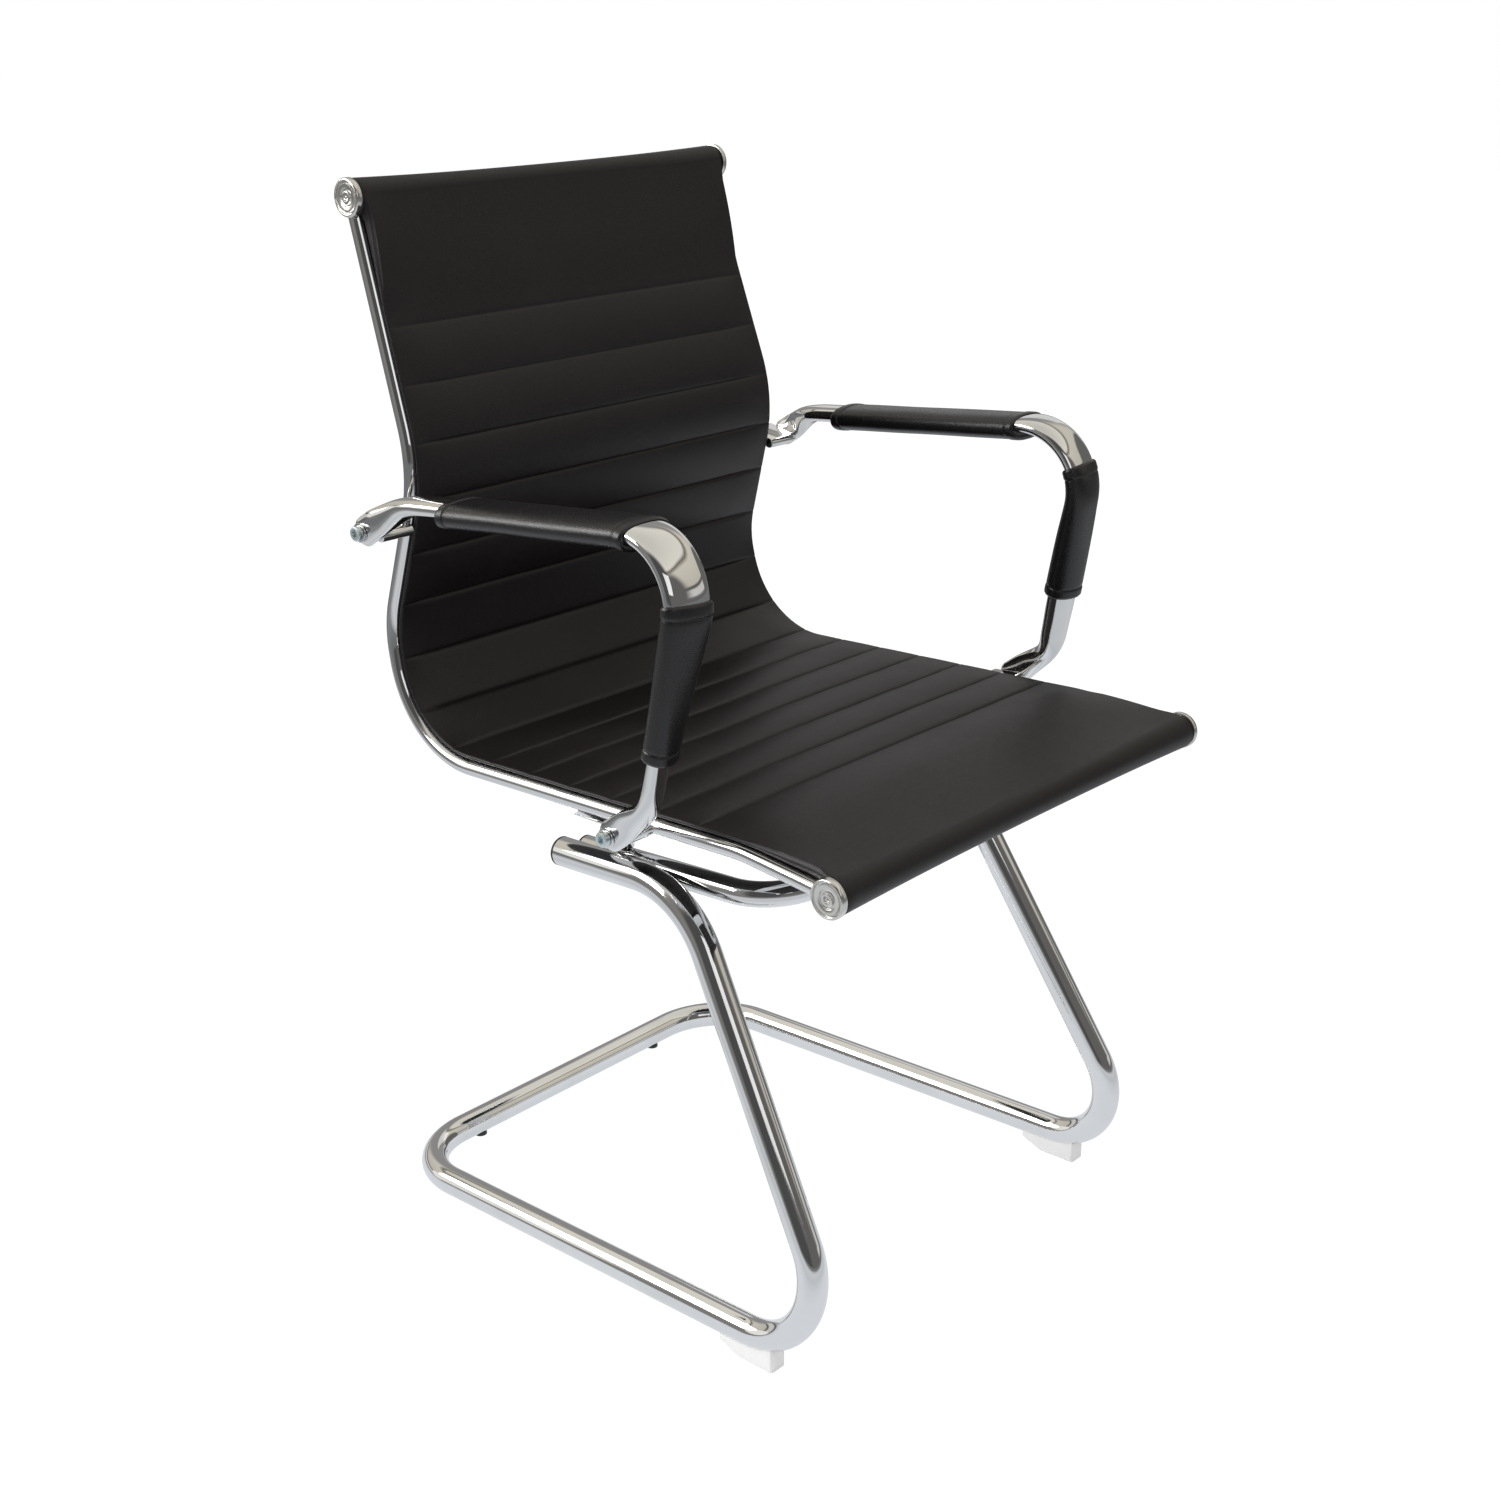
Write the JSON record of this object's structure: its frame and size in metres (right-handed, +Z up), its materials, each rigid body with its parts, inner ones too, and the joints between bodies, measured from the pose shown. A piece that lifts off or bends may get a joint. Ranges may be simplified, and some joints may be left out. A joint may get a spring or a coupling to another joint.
{
  "type": "sled base visitor chair",
  "caption": "Sled base visitor chair: a ribbed sling seat and back over leaning chromed side rails, on a bent tube base, with oval tube arms in wrapped pads.",
  "frame": {"origin": "centre of the chair's outline on the floor", "axes": "+Z up; the sitter faces -Y; +X is the sitter's left hand side"},
  "size_m": [0.5343, 0.585, 0.9133],
  "materials": {
    "chrome": "polished chrome plate on steel tube and bar",
    "bolt_zinc": "blue zinc plated, satin",
    "leatherette": "black coated fabric with a fine grain and a soft sheen",
    "foot_plastic": "white translucent moulded plastic, satin",
    "plug_plastic": "black moulded plastic, satin"
  },
  "bodies": {
    "root": {"sled_base_tube": "chrome", "seat_support_tube": "chrome", "sled_end_plug_right": "plug_plastic", "support_end_plug_right": "plug_plastic", "sled_end_plug_left": "plug_plastic", "support_end_plug_left": "plug_plastic", "top_cross_tube": "chrome", "top_cap_right": "chrome", "top_cap_left": "chrome", "front_cross_tube": "chrome", "front_cap_right": "chrome", "front_cap_left": "chrome", "side_rail_left": "chrome", "side_rail_right": "chrome", "rear_spreader": "chrome", "front_spreader": "chrome", "mounting_bush_rear_right": "chrome", "mounting_bolt_rear_right": "bolt_zinc", "mounting_bush_front_right": "chrome", "mounting_bolt_front_right": "bolt_zinc", "mounting_bush_rear_left": "chrome", "mounting_bolt_rear_left": "bolt_zinc", "mounting_bush_front_left": "chrome", "mounting_bolt_front_left": "bolt_zinc", "sling": "leatherette", "back_spreader": "chrome", "arm_tube_left": "chrome", "arm_pad_left": "leatherette", "arm_sleeve_left": "leatherette", "arm_tube_right": "chrome", "arm_pad_right": "leatherette", "arm_sleeve_right": "leatherette", "upper_stub_left": "chrome", "upper_stub_right": "chrome", "lower_stub_left": "chrome", "lower_stub_right": "chrome", "upper_washer_left": "chrome", "upper_washer_right": "chrome", "upper_arm_bolt_left": "bolt_zinc", "upper_arm_bolt_right": "bolt_zinc", "lower_washer_left": "chrome", "lower_washer_right": "chrome", "lower_arm_bolt_left": "bolt_zinc", "lower_arm_bolt_right": "bolt_zinc", "front_foot_left": "foot_plastic", "front_foot_right": "foot_plastic", "rear_glide_left": "plug_plastic", "rear_glide_right": "plug_plastic"}
  },
  "joints": []
}
